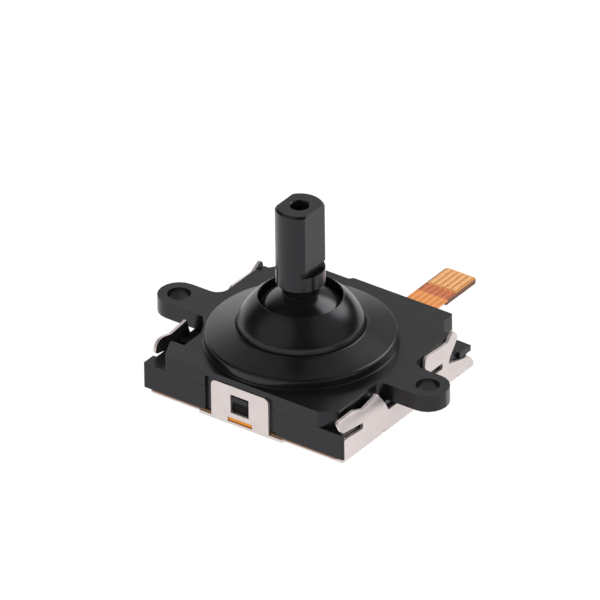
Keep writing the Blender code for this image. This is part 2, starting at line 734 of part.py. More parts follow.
def lever_profile():
    """The whole lever: tip, hub, ball with its hollow underside, neck and post."""
    inner = BALL_R - BALL_WALL
    shoulder = math.degrees(math.acos((SPRING_SHOULDER - PIVOT_Z) / inner))
    neck = math.degrees(math.asin(NECK_R / BALL_R))
    return (
        [(0, TIP_LOW), (TIP_R - TIP_EDGE, TIP_LOW), (TIP_R, TIP_LOW + TIP_EDGE)]
        + [(TIP_R, SLIDER_Y_LOW + SLIDER_THICK + HUB_CLEAR), (HUB_R - HUB_CONE, HUB_LOW)]
        + [(HUB_R, HUB_LOW + HUB_CLEAR), (HUB_R, SPRING_SHOULDER)]
        + sphere_run(inner, shoulder, SKIRT_ANGLE, 4)
        + sphere_run(BALL_R, SKIRT_ANGLE, neck, 9)
        + [(NECK_R, POST_CHAMFER_LOW), (POST_R - POST_CONE, POST_CHAMFER_LOW + JOIN), (POST_R, POST_LOW)]
        + [(POST_R, POST_TOP - POST_EDGE), (POST_R - POST_EDGE, POST_TOP), (TOP_HOLE_R + HOLE_EDGE, POST_TOP)]
        + [(TOP_HOLE_R, POST_TOP - HOLE_EDGE), (TOP_HOLE_R, POST_TOP - TOP_HOLE_DEEP)]
        + [(0, POST_TOP - TOP_HOLE_DEEP - HOLE_TIP)]
    )


def make_stick_lever(black):
    body = node("stick_lever", mesh_from(turned(lever_profile()), "lever"), black)
    for side in (-1, 1):
        near, far = sorted((side * FLAT_X, side * (POST_R + PAST)))
        cut(body, block((near, -POST_R - PAST, FLAT_LOW), (far, POST_R + PAST, POST_TOP + PAST)))
        near, far = sorted((side * (FLAT_X - NOTCH_DEEP), side * (POST_R + PAST)))
        cut(body, block((near, -POST_R - PAST, FLAT_LOW - NOTCH_TALL), (far, POST_R + PAST, FLAT_LOW)))
    bore = cylinder(CROSS_PIN_R + SEAT_GAP, -HUB_R - PAST, HUB_R + PAST, (PIVOT_Z, 0.0), 20)
    cut(body, stand(bore, "Y"))
    return body


def make_cross_pin(steel):
    shape = stand(cylinder(CROSS_PIN_R, -CROSS_PIN_LONG / 2, CROSS_PIN_LONG / 2, (PIVOT_Z, 0.0), 20), "Y")
    return node("cross_pin", mesh_from(shape, "pin"), steel)


def make_gimbal_ring(ivory):
    low, high = PIVOT_Z - RING_TALL / 2, PIVOT_Z + RING_TALL / 2
    tube = [(RING_IN_R, low), (RING_OUT_R, low), (RING_OUT_R, high), (RING_IN_R, high)]
    body = node("gimbal_ring", mesh_from(turned(tube, 48), "ring"), ivory)
    middle = (RING_IN_R + RING_OUT_R) / 2
    for side in (-1, 1):
        near, far = sorted((side * middle, side * TRUNNION_REACH))
        add(body, stand(cylinder(TRUNNION_R, near, far, (0.0, PIVOT_Z), 20), "X"))
    bore = cylinder(CROSS_PIN_R + PIN_GAP, -RING_OUT_R - PAST, RING_OUT_R + PAST, (PIVOT_Z, 0.0), 20)
    cut(body, stand(bore, "Y"))
    return body


def finger_outline(reach, half, radius):
    """A flat finger out along X from the carrier's wall, with a round end."""
    return rounded([(LUG_ROOT, -half, 0), (reach, -half, radius), (reach, half, radius), (LUG_ROOT, half, 0)])


def make_gimbal_carrier(ivory):
    tube = [(CARRIER_IN_R, CARRIER_LOW), (CARRIER_OUT_R, CARRIER_LOW),
            (CARRIER_OUT_R, CARRIER_TOP), (CARRIER_IN_R, CARRIER_TOP)]
    body = node("gimbal_carrier", mesh_from(turned(tube, 48), "carrier"), ivory)
    slot = TRUNNION_R + PIN_GAP
    below, above = CARRIER_LOW - PAST, CARRIER_LOW + LUG_TALL + PAST
    slot_shape = arc((0, PIVOT_Z), slot, 0, 180, 12) + [(-slot, below), (slot, below)]
    cut(body, stand(prism(slot_shape, -CARRIER_OUT_R - PAST, CARRIER_OUT_R + PAST), "X"))
    hole = GUIDE_R + SLIDE_GAP
    for angle in (45, 225):
        lug = prism(finger_outline(LUG_REACH, LUG_HALF, LUG_ROUND), CARRIER_LOW, CARRIER_LOW + LUG_TALL)
        lug.transform(Matrix.Rotation(math.radians(angle), 4, "Z"))
        add(body, lug)
        reach = math.radians(angle)
        centre = (GUIDE_REACH * math.cos(reach), GUIDE_REACH * math.sin(reach))
        cut(body, cylinder(hole, below, above, centre, 20))
    far = math.hypot(CLICK_X, CLICK_Y) + ARM_PAST
    arm = prism(finger_outline(far, ARM_HALF, ARM_ROUND), CARRIER_LOW, CARRIER_LOW + LUG_TALL)
    arm.transform(Matrix.Rotation(math.atan2(CLICK_Y, CLICK_X), 4, "Z"))
    add(body, arm)
    foot = PRINT_LOW + CLICK_RISE + SEAT_GAP
    add(body, cylinder(PLUNGER_R, foot, CARRIER_LOW + LUG_TALL / 2, (CLICK_X, CLICK_Y), 20))
    return body


def make_spring_seat(ivory):
    low = CARRIER_TOP + SEAT_GAP
    high = low + SEAT_THICK
    tube = [(SEAT_IN_R, low), (SEAT_OUT_R, low), (SEAT_OUT_R, high), (SEAT_IN_R, high)]
    return node("spring_seat", mesh_from(turned(tube, 48), "seat"), ivory)


def make_return_spring(steel):
    """A coil with its end turns closed flat."""
    wire = SPRING_WIRE / 2
    low = CARRIER_TOP + SEAT_GAP + SEAT_THICK + SEAT_GAP + wire
    high = SPRING_SHOULDER - SEAT_GAP - wire
    curve = bpy.data.curves.new("spring", "CURVE")
    curve.dimensions = "3D"
    curve.bevel_depth = wire * MM
    curve.bevel_resolution = 1
    curve.use_fill_caps = True
    line = curve.splines.new("POLY")
    steps = int(SPRING_TURNS * 24)
    line.points.add(steps)
    closed = SPRING_WIRE * END_PITCH
    free = high - low - 2 * closed
    for index in range(steps + 1):
        turn = SPRING_TURNS * index / steps
        if turn < 1:
            height = low + closed * turn
        elif turn > SPRING_TURNS - 1:
            height = high - closed * (SPRING_TURNS - turn)
        else:
            height = low + closed + free * (turn - 1) / (SPRING_TURNS - 2)
        angle = math.tau * turn
        line.points[index].co = (SPRING_R * math.cos(angle) * MM, SPRING_R * math.sin(angle) * MM,
                                 height * MM, 1)
    made = bpy.data.objects.new("return_spring", curve)
    bpy.context.scene.collection.objects.link(made)
    curve.materials.append(steel)
    return made


def wiper_outline(root, touch, top):
    """Side view of a wiper: flat root, sprung arm and turned-up toe, as (along, height)."""
    low = PRINT_LOW + PRINT_THICK + SEAT_GAP
    knee, toe = root + WIPER_FLAT, touch + WIPER_TOE
    rise = low + WIPER_SHEET
    upper = [(root, top), (knee, top), (touch - WIPER_SHEET / 2, rise), (toe, rise + SLIDE_GAP * 2)]
    under = [(toe + SEAT_GAP, rise + SEAT_GAP), (touch, low), (knee - SEAT_GAP, top - WIPER_SHEET)]
    return upper + under + [(root, top - WIPER_SHEET)]


def make_slider_x(ivory, steel):
    high = SLIDER_X_LOW + SLIDER_THICK
    plate = rounded([(-SLIDER_BACK, -SLIDER_HALF, SLIDER_ROUND), (SLIDER_FRONT, -SLIDER_HALF, SLIDER_ROUND),
                     (SLIDER_FRONT, SLIDER_HALF, SLIDER_ROUND), (-SLIDER_BACK, SLIDER_HALF, SLIDER_ROUND)])
    body = node("slider_x", mesh_from(prism(plate, SLIDER_X_LOW, high), "slider"), ivory)
    cut(body, block((-SLOT_HALF, -SLOT_REACH, SLIDER_X_LOW - PAST), (SLOT_HALF, SLOT_REACH, high + PAST)))
    side = wiper_outline(WIPER_ROOT, WIPER_TOUCH, SLIDER_X_LOW - SEAT_GAP)
    strip = prism([(z, x) for x, z in side], -WIPER_WIDE / 2, WIPER_WIDE / 2)
    wiper = node("wiper_x", mesh_from(stand(strip, "Y"), "wiper"), steel)
    cut(wiper, block((WIPER_ROOT + WIPER_FLAT, -WIPER_SPLIT / 2, 0), (WIPER_TOUCH + PAST, WIPER_SPLIT / 2, high)))
    return body


def make_slider_y(ivory, steel):
    high = SLIDER_Y_LOW + SLIDER_THICK
    plate = rounded([(-SLIDER_HALF, -SLIDER_FRONT, SLIDER_ROUND), (SLIDER_HALF, -SLIDER_FRONT, SLIDER_ROUND),
                     (SLIDER_HALF, SLIDER_BACK, SLIDER_ROUND), (-SLIDER_HALF, SLIDER_BACK, SLIDER_ROUND)])
    body = node("slider_y", mesh_from(prism(plate, SLIDER_Y_LOW, high), "slider"), ivory)
    cut(body, block((-SLOT_REACH, -SLOT_HALF, SLIDER_Y_LOW - PAST), (SLOT_REACH, SLOT_HALF, high + PAST)))
    add(body, block((SLIDER_LEG_IN - SLIDER_HALF, CASE_GAP - SLIDER_FRONT, SLIDER_X_LOW),
                    (SLIDER_HALF - SLIDER_LEG_IN, SLIDER_LEG - SLIDER_FRONT, SLIDER_Y_LOW + CASE_GAP)))
    side = wiper_outline(WIPER_ROOT + WIPER_Y_SHIFT, WIPER_TOUCH + WIPER_Y_SHIFT / 2, SLIDER_X_LOW - SEAT_GAP)
    strip = prism([(-y, z) for y, z in side], -WIPER_WIDE / 2, WIPER_WIDE / 2)
    wiper = node("wiper_y", mesh_from(stand(strip, "X"), "wiper"), steel)
    split_from = WIPER_ROOT + WIPER_Y_SHIFT + WIPER_FLAT
    cut(wiper, block((-WIPER_SPLIT / 2, -WIPER_TOUCH - PAST, 0), (WIPER_SPLIT / 2, -split_from, high)))
    return body


def main():
    remove_everything()
    black = material("black_plastic", (0.028, 0.028, 0.030), 0.45, 0.0)
    steel = material("steel", (0.62, 0.60, 0.60), 0.32, 1.0)
    orange = material("polyimide", (0.82, 0.30, 0.04), 0.40, 0.0)
    brown = material("backing_film", (0.30, 0.12, 0.05), 0.50, 0.0)
    gold = material("gold", (0.90, 0.60, 0.28), 0.30, 1.0)
    carbon = material("carbon_ink", (0.02, 0.02, 0.02), 0.60, 0.0)
    ivory = material("ivory_plastic", (0.75, 0.72, 0.64), 0.45, 0.0)
    make_upper_housing(black)
    make_lower_frame(black)
    make_base_plate(steel)
    make_flex(orange)
    make_tail_end(brown, gold)
    make_tracks(carbon)
    make_snap_dome(steel)
    make_stick_lever(black)
    make_cross_pin(steel)
    make_gimbal_ring(ivory)
    make_gimbal_carrier(ivory)
    make_spring_seat(ivory)
    make_return_spring(steel)
    make_slider_x(ivory, steel)
    make_slider_y(ivory, steel)


main()
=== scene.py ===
"""Looks of the miniature analog stick module: skins, finishes, light and camera.

Lengths are in metres, in the CAD's own frame: +X along the front edge, +Y
towards the ribbon tail, +Z up along the stick.
"""

import json
import math

import bmesh
import bpy
from mathutils import Matrix, Quaternion, Vector


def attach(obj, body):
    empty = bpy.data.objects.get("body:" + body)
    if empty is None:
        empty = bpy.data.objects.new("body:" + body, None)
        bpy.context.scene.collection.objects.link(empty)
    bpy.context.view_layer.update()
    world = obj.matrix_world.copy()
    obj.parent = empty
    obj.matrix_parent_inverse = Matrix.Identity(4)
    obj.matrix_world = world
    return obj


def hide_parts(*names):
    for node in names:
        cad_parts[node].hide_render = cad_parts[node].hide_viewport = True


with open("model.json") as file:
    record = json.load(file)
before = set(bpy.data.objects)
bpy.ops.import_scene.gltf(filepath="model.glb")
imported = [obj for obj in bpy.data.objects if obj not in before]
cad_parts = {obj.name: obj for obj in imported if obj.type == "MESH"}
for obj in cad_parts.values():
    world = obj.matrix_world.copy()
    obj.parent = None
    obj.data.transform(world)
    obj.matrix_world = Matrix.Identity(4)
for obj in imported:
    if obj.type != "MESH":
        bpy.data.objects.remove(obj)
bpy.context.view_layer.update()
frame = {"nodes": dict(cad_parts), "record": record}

MM = 0.001

# Where the camera stands
VIEW_AZIMUTH = 36.0
VIEW_ELEVATION = 31.4
VIEW_ROLL = -0.66
VIEW_DISTANCE = 0.996
AIM = Vector((-0.047, -0.034, 7.657)) * MM
PHOTO_SIDE = 600
PIXELS_PER_MM = 13.03
SENSOR = 36.0
CLIP_NEAR = 0.01
CLIP_FAR = 10.0

# The surfaces that reflections show above the floor. Each has its azimuth, 0 in front, its elevation,
# the cosines of its inner and outer edge, and its level
WALL_LOW = (238, 4, 0.97, 0.78, 1.0)
WALL_HIGH = (215, 33, 0.95, 0.70, 0.45)
WINDOW_RIGHT = (100, 33, 0.95, 0.75, 0.45)
CEILING_FRONT = (340, 33, 0.95, 0.75, 0.55)
SOFT_BOX_BACK = (159, 39, 0.98, 0.90, 4.0)
STUDIO = (WALL_LOW, WALL_HIGH, WINDOW_RIGHT, CEILING_FRONT, SOFT_BOX_BACK)
FILL_LEVEL = 1.0

# The floor, and how much of what is seen of it directly is its glow
FLOOR_HALF = 3.0
FLOOR_PAINT = (0.92, 0.92, 0.92)
FLOOR_GLOW = 1.08
FLOOR_SHARE = 0.9

# How far the finer pieces are rounded, in millimetres, and the angle from which an edge counts as one
HOUSING_ROUND = 0.07
LEVER_ROUND = 0.05
PLATE_ROUND = 0.03
BACKING_ROUND = 0.02
CONTACT_ROUND = 0.008
ROUND_STEPS = 2
SHARP_ANGLE = math.radians(40)

# What counts as one point, in millimetres, and as one flat face when a solid is taken over
SAME_POINT = 0.0005
FLAT_ANGLE = math.radians(0.6)

# The film that fills the slot of the front tab; its rounding and long edges are in millimetres
LIP_FROM = Vector((-1.38, -7.72, 0.26)) * MM
LIP_TO = Vector((0.88, -7.42, 0.60)) * MM
LIP_ROUND = 0.12
LIP_STEPS = 4
LIP_LONG_EDGE = 1.0

# The slot of the front tab, and the recess behind the tab's window, where a shade is painted
SLOT_MIDDLE_X = -0.25 * MM
SLOT_HALF = 1.5 * MM
WINDOW_HALF = 0.95 * MM
NUB_LOW = 1.85 * MM
NUB_SOFT = 0.15 * MM
RECESS_FROM = 6.0 * MM
RECESS_TO = 6.3 * MM
RECESS_DULL = 0.6

# From how far left the inner faces of the flange carry a painted shade, for the case's shade and dark
# reflection on them
SHADED_X = 8.2 * MM

# The ribbon tail, and the circuit's front edge, where a shade is painted beside the slot
TAIL_CENTRE_X = 0.98 * MM
CONTACTS = 5
CONTACT_PITCH = 0.5 * MM
BAND_FROM = 16.0 * MM
BAND_TO = 17.45 * MM
BAND_SOFT = 0.2 * MM
MARGIN_AT = 1.36 * MM
MARGIN_SOFT = 0.03 * MM
FRONT_EDGE_Y = -7.3 * MM
FRONT_SOFT = 0.05 * MM

# How soft the edge of a painted shade is where nothing else is said
SHADE_SOFT = 0.1 * MM

# Wear and a painted highlight along edges: how far they reach from an edge
PLASTIC_WEAR_AND_HIGHLIGHT = 0.09 * MM
STEEL_WEAR_AND_HIGHLIGHT = 0.06 * MM

# How strongly plastics reflect, the tint of that, and how much paler their clouds are
PLASTIC_SPECULAR = 0.4
PLASTIC_TINT = (0.96, 0.94, 1.0, 1.0)
PLASTIC_CLOUD = 1.25

# Plastics: the body's colour and that of its worn edges, which also carry a painted highlight
BLACK = (0.0062, 0.0061, 0.0070)
BLACK_EDGE = (0.0135, 0.0132, 0.0152)
# Painted shade for the recess behind the front tab's window
RECESS_PAINTED_SHADE = (0.0085, 0.0045, 0.0035)
IVORY = (0.60, 0.56, 0.48)
IVORY_EDGE = (0.72, 0.69, 0.62)
CARBON = (0.015, 0.015, 0.016)
CARBON_EDGE = (0.03, 0.03, 0.03)
BACKING = (0.16, 0.055, 0.022)
BACKING_EDGE = (0.30, 0.12, 0.05)
SLOT_FILM = (0.86, 0.30, 0.012)
SLOT_FILM_EDGE = (0.92, 0.38, 0.03)

# Metals: the two colours of their clouds, and what lies over them
STEEL = (0.82, 0.74, 0.72)
STEEL_PALE = (0.86, 0.78, 0.76)
STEEL_LINE = (0.78, 0.70, 0.69)
STEEL_EDGE = (0.94, 0.90, 0.88)
# Painted shade for the flange's inner faces on the left
PAINTED_FLANGE_SHADE = (0.09, 0.085, 0.085)
WIRE = (0.50, 0.50, 0.52)
WIRE_PALE = (0.66, 0.66, 0.68)
GOLD = (0.93, 0.47, 0.19)
GOLD_PALE = (1.0, 0.55, 0.25)

# The flexible circuit: its film, the band over the backing's start, the end, the margins and a painted shade
# along the front
FILM = (0.74, 0.225, 0.026)
FILM_PALE = (0.86, 0.29, 0.040)
COPPER_LINE = (0.95, 0.37, 0.10)
BAND = (0.46, 0.100, 0.016)
BAND_PALE = (0.62, 0.145, 0.034)
BAND_LINE = (0.80, 0.225, 0.075)
TAIL_END = (0.82, 0.38, 0.100)
TAIL_MARGIN = (0.26, 0.085, 0.045)
FRONT_FILM_PAINTED_SHADE = (0.26, 0.125, 0.045)

# Sockets of a Mix node: its share, its two colours and its result
MIX_SHARE = 0
MIX_FIRST = 6
MIX_SECOND = 7
MIX_RESULT = 2


def new_material(name):
    """A material with its node tree and its Principled shader."""
    made = bpy.data.materials.new(name)
    made.use_nodes = True
    tree = made.node_tree
    return made, tree, tree.nodes["Principled BSDF"]


def place(tree, kind, **settings):
    """Adds a node and sets its properties."""
    made = tree.nodes.new(kind)
    for name, value in settings.items():
        setattr(made, name, value)
    return made


def feed(tree, socket, value):
    """Links a socket to another one, or sets it to a number or an opaque colour."""
    if isinstance(value, bpy.types.NodeSocket):
        tree.links.new(value, socket)
    elif isinstance(value, tuple):
        socket.default_value = (*value, 1.0)
    else:
        socket.default_value = value


def math_node(tree, operation, first, second=0.0):
    """A Math node fed by sockets or plain numbers; returns its output."""
    made = place(tree, "ShaderNodeMath", operation=operation)
    feed(tree, made.inputs[0], first)
    feed(tree, made.inputs[1], second)
    return made.outputs[0]


def mix_colour(tree, share, first, second):
    """Mixes two colours, each a socket or a tuple, by a socket or a number."""
    made = place(tree, "ShaderNodeMix", data_type="RGBA")
    feed(tree, made.inputs[MIX_SHARE], share)
    feed(tree, made.inputs[MIX_FIRST], first)
    feed(tree, made.inputs[MIX_SECOND], second)
    return made.outputs[MIX_RESULT]


def ramp(tree, source, low, high):
    """Maps a value from low..high to 0..1 with a smooth step."""
    made = place(tree, "ShaderNodeMapRange", interpolation_type="SMOOTHSTEP")
    tree.links.new(source, made.inputs["Value"])
    made.inputs["From Min"].default_value = low
    made.inputs["From Max"].default_value = high
    return made.outputs["Result"]


def noise(tree, vector, scale, detail=3.0):
    """Noise whose scale is a socket or a number."""
    made = place(tree, "ShaderNodeTexNoise")
    tree.links.new(vector, made.inputs["Vector"])
    feed(tree, made.inputs["Scale"], scale)
    made.inputs["Detail"].default_value = detail
    return made.outputs["Fac"]


def cloudy(tree, vector, scale):
    """Noise spread out into a mask from 0 to 1."""
    return ramp(tree, noise(tree, vector, scale), low=0.3, high=0.7)


def own_place(tree):
    """The place on the object, which textures follow."""
    return place(tree, "ShaderNodeTexCoord").outputs["Object"]


def axes_of(tree, vector):
    """The three numbers of a vector."""
    made = place(tree, "ShaderNodeSeparateXYZ")
    tree.links.new(vector, made.inputs[0])
    return made.outputs


def off_middle(tree, along, middle):
    """How far a number lies from a middle, to either side."""
    return math_node(tree, "ABSOLUTE", math_node(tree, "SUBTRACT", along, middle))


def group(name, inputs, outputs):
    """A shader node group with float inputs and outputs; returns tree, input and output nodes."""
    tree = bpy.data.node_groups.new(name, "ShaderNodeTree")
    for label, value in inputs:
        socket = tree.interface.new_socket(label, in_out="INPUT", socket_type="NodeSocketFloat")
        socket.default_value = value
    for label in outputs:
        tree.interface.new_socket(label, in_out="OUTPUT", socket_type="NodeSocketFloat")
    return tree, place(tree, "NodeGroupInput"), place(tree, "NodeGroupOutput")


def edge_wear_group():
    """Mask for worn edges with a painted highlight: it rises towards sharp edges, broken up by noise."""
    tree, given, result = group("edge_wear_and_highlight", [("Width", 0.1 * MM), ("Break", 9000.0)], ["Mask"])
    round_off = place(tree, "ShaderNodeBevel", samples=6)
    tree.links.new(given.outputs["Width"], round_off.inputs["Radius"])
    surface = place(tree, "ShaderNodeNewGeometry")
    dot = place(tree, "ShaderNodeVectorMath", operation="DOT_PRODUCT")
    tree.links.new(round_off.outputs["Normal"], dot.inputs[0])
    tree.links.new(surface.outputs["Normal"], dot.inputs[1])
    turned = math_node(tree, "SUBTRACT", 1.0, dot.outputs["Value"])
    turned_away = ramp(tree, turned, low=0.01, high=0.16)
    speck = noise(tree, own_place(tree), given.outputs["Break"], detail=2.0)
    broken = ramp(tree, speck, low=0.32, high=0.62)
    tree.links.new(math_node(tree, "MULTIPLY", turned_away, broken), result.inputs["Mask"])
    return tree


def grain_group():
    """Fine mould texture: a height for bump and a mask for colour and roughness."""
    tree, given, result = group("mould_grain", [("Scale", 20000.0), ("Cloud", 600.0)], ["Height", "Cloud"])
    vector = own_place(tree)
    fine = noise(tree, vector, given.outputs["Scale"])
    tree.links.new(ramp(tree, fine, low=0.25, high=0.75), result.inputs["Height"])
    coarse = noise(tree, vector, given.outputs["Cloud"], detail=2.0)
    tree.links.new(ramp(tree, coarse, low=0.3, high=0.7), result.inputs["Cloud"])
    return tree


def use_group(tree, shared, **values):
    """Places a node group and sets its inputs."""
    made = place(tree, "ShaderNodeGroup", node_tree=shared)
    for name, value in values.items():
        made.inputs[name].default_value = value
    return made


EDGE_WEAR_AND_HIGHLIGHT = edge_wear_group()
MOULD_GRAIN = grain_group()


def bump(tree, shader, height, strength, distance):
    """Raises the surface by a height from 0 to 1."""
    made = place(tree, "ShaderNodeBump")
    made.inputs["Strength"].default_value = strength
    made.inputs["Distance"].default_value = distance
    tree.links.new(height, made.inputs["Height"])
    tree.links.new(made.outputs["Normal"], shader.inputs["Normal"])


def roughen(tree, shader, mask, least, spread):
    """Roughness from its least value, where the mask is 0, up by its spread."""
    added = math_node(tree, "MULTIPLY", mask, spread)
    tree.links.new(math_node(tree, "ADD", added, least), shader.inputs["Roughness"])


def plastic(name, body, edge, roughness, grain):
    """Moulded plastic: fine grain, slight clouding and paler edges, worn and with a painted highlight."""
    made, tree, shader = new_material(name)
    texture = use_group(tree, MOULD_GRAIN)
    wear_and_highlight = use_group(tree, EDGE_WEAR_AND_HIGHLIGHT, Width=PLASTIC_WEAR_AND_HIGHLIGHT)
    paler = tuple(part * PLASTIC_CLOUD for part in body)
    cloud = mix_colour(tree, texture.outputs["Cloud"], body, paler)
    # Paler edges: wear and a painted highlight
    colour = mix_colour(tree, wear_and_highlight.outputs["Mask"], cloud, edge)
    tree.links.new(colour, shader.inputs["Base Color"])
    roughen(tree, shader, texture.outputs["Cloud"], least=roughness, spread=0.05)
    bump(tree, shader, texture.outputs["Height"], strength=grain, distance=0.006 * MM)
    shader.inputs["Specular IOR Level"].default_value = PLASTIC_SPECULAR
    shader.inputs["Specular Tint"].default_value = PLASTIC_TINT
    return made


def shade_window(finish):
    """Paints a shade into the recess below the nub, seen through the front tab's window: a darker colour and
    more roughness there.
    """
    tree = finish.node_tree
    shader = tree.nodes["Principled BSDF"]
    along = axes_of(tree, own_place(tree))
    across = ramp(tree, off_middle(tree, along["X"], SLOT_MIDDLE_X), WINDOW_HALF, WINDOW_HALF + SHADE_SOFT)
    within = math_node(tree, "SUBTRACT", 1.0, across)
    above = ramp(tree, along["Z"], NUB_LOW, NUB_LOW + NUB_SOFT)
    below = math_node(tree, "SUBTRACT", 1.0, above)
    front = ramp(tree, math_node(tree, "MULTIPLY", along["Y"], -1.0), RECESS_FROM, RECESS_TO)
    mask = math_node(tree, "MULTIPLY", math_node(tree, "MULTIPLY", within, below), front)
    plain = shader.inputs["Base Color"].links[0].from_socket
    # Painted shade: the recess below the nub gets a darker colour
    tree.links.new(mix_colour(tree, mask, plain, RECESS_PAINTED_SHADE), shader.inputs["Base Color"])
    dull = math_node(tree, "MULTIPLY", mask, RECESS_DULL)
    satin = shader.inputs["Roughness"].links[0].from_socket
    tree.links.new(math_node(tree, "ADD", satin, dull), shader.inputs["Roughness"])


def steel_shade(tree, vector):
    """Mask of the painted shade on the flange's inner faces on the left, standing in for the case's shade
    and its dark reflection there.
    """
    left = math_node(tree, "MULTIPLY", axes_of(tree, vector)["X"], -1.0)
    far_left = ramp(tree, left, SHADED_X, SHADED_X + SHADE_SOFT)
    surface = place(tree, "ShaderNodeNewGeometry")
    inward = ramp(tree, axes_of(tree, surface.outputs["Normal"])["X"], low=0.25, high=0.5)
    return math_node(tree, "MULTIPLY", far_left, inward)


def sheet_steel():
    """Plated sheet: long rolling lines, cloudy roughness, bright sheared edges that also carry a painted
    highlight, and a painted shade on the left flange's inner faces.
    """
    made, tree, shader = new_material("plated_steel")
    vector = own_place(tree)
    stretch = place(tree, "ShaderNodeMapping")
    stretch.inputs["Scale"].default_value = (1.0, 0.06, 1.0)
    tree.links.new(vector, stretch.inputs["Vector"])
    lines = cloudy(tree, stretch.outputs["Vector"], scale=26000.0)
    cloud = cloudy(tree, vector, scale=900.0)
    wear_and_highlight = use_group(tree, EDGE_WEAR_AND_HIGHLIGHT, Width=STEEL_WEAR_AND_HIGHLIGHT)
    base = mix_colour(tree, cloud, STEEL, STEEL_PALE)
    line_share = math_node(tree, "MULTIPLY", lines, 0.2)
    lined = mix_colour(tree, line_share, base, STEEL_LINE)
    # Brighter edges: wear and a painted highlight
    edge_share = math_node(tree, "MULTIPLY", wear_and_highlight.outputs["Mask"], 0.4)
    edged = mix_colour(tree, edge_share, lined, STEEL_EDGE)
    # Painted shade on the left flange's inner faces, where the case shades them and darkens their reflection
    shaded = mix_colour(tree, steel_shade(tree, vector), edged, PAINTED_FLANGE_SHADE)
    tree.links.new(shaded, shader.inputs["Base Color"])
    roughen(tree, shader, cloud, least=0.46, spread=0.12)
    bump(tree, shader, lines, strength=0.12, distance=0.004 * MM)
    shader.inputs["Metallic"].default_value = 0.85
    return made


def cloudy_metal(name, dark, pale, scale, least, spread, metallic):
    """Smooth metal whose colour and roughness drift a little."""
    made, tree, shader = new_material(name)
    cloud = cloudy(tree, own_place(tree), scale)
    tree.links.new(mix_colour(tree, cloud, dark, pale), shader.inputs["Base Color"])
    roughen(tree, shader, cloud, least, spread)
    shader.inputs["Metallic"].default_value = metallic
    return made


def spring_steel():
    """Drawn wire and thin strip."""
    return cloudy_metal("spring_steel", WIRE, WIRE_PALE, scale=6000.0, least=0.22, spread=0.12, metallic=1.0)


def gold_plate():
    """The thin gold of the contact stripes."""
    return cloudy_metal("gold_plate", GOLD, GOLD_PALE, scale=3000.0, least=0.40, spread=0.1, metallic=0.25)


def flex_film():
    """Orange film over copper lines, with a darker band where the backing starts and a painted shade along
    the front edge beside the slot.
    """
    made, tree, shader = new_material("flex_film")
    vector = own_place(tree)
    along = axes_of(tree, vector)
    off_centre = math_node(tree, "SUBTRACT", along["X"], TAIL_CENTRE_X)
    across = math_node(tree, "DIVIDE", off_centre, CONTACT_PITCH)
    wave = math_node(tree, "COSINE", math_node(tree, "MULTIPLY", across, math.tau))
    copper = ramp(tree, wave, low=-0.35, high=0.35)
    cloud = cloudy(tree, vector, scale=2500.0)
    film = mix_colour(tree, cloud, FILM, FILM_PALE)
    plain = mix_colour(tree, copper, film, COPPER_LINE)
    patch = mix_colour(tree, cloud, BAND, BAND_PALE)
    line_share = math_node(tree, "MULTIPLY", copper, 0.6)
    band = mix_colour(tree, line_share, patch, BAND_LINE)
    start = ramp(tree, along["Y"], BAND_FROM, BAND_FROM + BAND_SOFT)
    stop = ramp(tree, along["Y"], BAND_TO - BAND_SOFT, BAND_TO)
    middle = math_node(tree, "SUBTRACT", start, stop)
    ended = mix_colour(tree, stop, plain, TAIL_END)
    stiffened = mix_colour(tree, middle, ended, band)
    from_centre = math_node(tree, "ABSOLUTE", off_centre)
    edge = ramp(tree, from_centre, MARGIN_AT - MARGIN_SOFT, MARGIN_AT + MARGIN_SOFT)
    edge_share = math_node(tree, "MULTIPLY", edge, start)
    margin = mix_colour(tree, edge_share, stiffened, TAIL_MARGIN)
    forward = math_node(tree, "MULTIPLY", along["Y"], -1.0)
    in_front = ramp(tree, forward, -FRONT_EDGE_Y - FRONT_SOFT, -FRONT_EDGE_Y)
    beside = ramp(tree, off_middle(tree, along["X"], SLOT_MIDDLE_X), SLOT_HALF, SLOT_HALF + SHADE_SOFT)
    dull = math_node(tree, "MULTIPLY", in_front, beside)
    # Painted shade: the film's front edge beside the slot, under the frame, is darker
    tree.links.new(mix_colour(tree, dull, margin, FRONT_FILM_PAINTED_SHADE), shader.inputs["Base Color"])
    shader.inputs["Roughness"].default_value = 0.34
    bump(tree, shader, copper, strength=0.25, distance=0.012 * MM)
    return made


def body_of(node):
    """The body that a CAD node rides on."""
    for body, nodes in frame["record"]["behaviour"]["bodies"].items():
        if node in nodes:
            return body


def add_piece(name, mesh):
    """Puts a mesh into the scene as a piece."""
    made = bpy.data.objects.new(name, mesh)
    bpy.context.scene.collection.objects.link(made)
    return made


